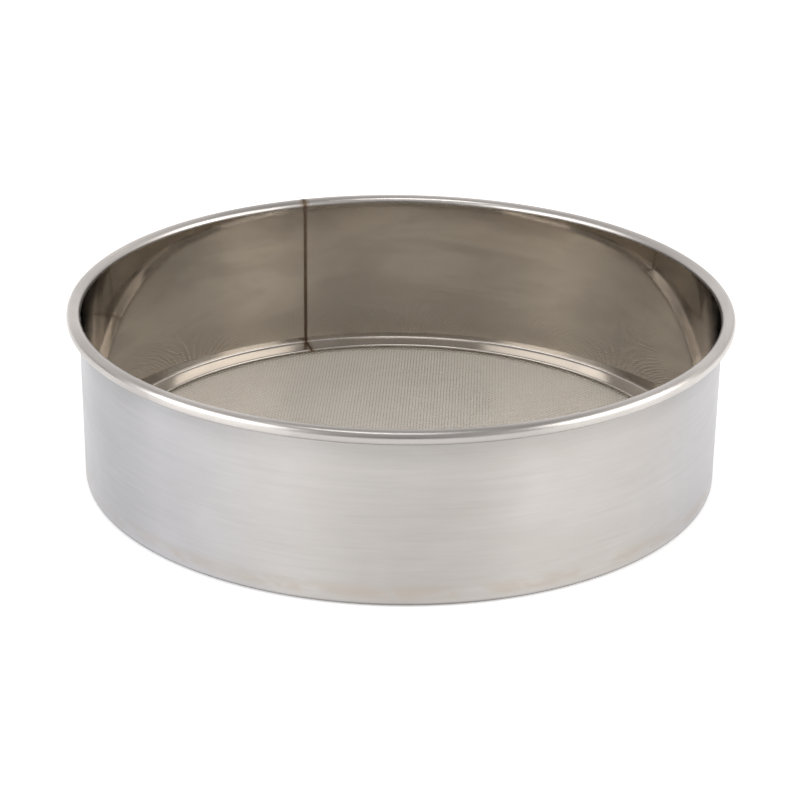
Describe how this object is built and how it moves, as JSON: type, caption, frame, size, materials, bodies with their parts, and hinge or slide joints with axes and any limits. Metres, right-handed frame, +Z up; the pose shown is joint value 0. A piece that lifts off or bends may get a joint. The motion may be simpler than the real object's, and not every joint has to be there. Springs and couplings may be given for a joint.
{
  "type": "soil sieve",
  "caption": "Round stainless steel soil sieve: drum with a rolled wired rim and an upright weld seam, and a woven wire cloth floor held on the bottom flange by a clamp ring.",
  "frame": {"origin": "centre of the drum at the underside of its bottom flange, where it stands", "axes": "+Z up along the drum's axis; the weld seam is 110 degrees round from +X, towards +Y"},
  "size_m": [0.3116, 0.3116, 0.083],
  "materials": {
    "stainless_sheet": "stainless sheet, mirror-like inside, fine scratches round the outside, polished on the rolled rim",
    "polished_ring": "polished stainless, lightly drawn along its length",
    "heat_tinted_weld": "dark brown heat-tinted weld, satin",
    "cloth_wire": "drawn stainless wire, woven",
    "core_wire": "drawn wire, hidden inside the rolled rim"
  },
  "bodies": {
    "root": {"drum_wall": "stainless_sheet", "drum_seam_weld": "heat_tinted_weld", "rim_core_wire": "core_wire", "wire_cloth": "cloth_wire", "clamp_ring": "polished_ring", "clamp_ring_weld": "heat_tinted_weld"}
  },
  "joints": []
}
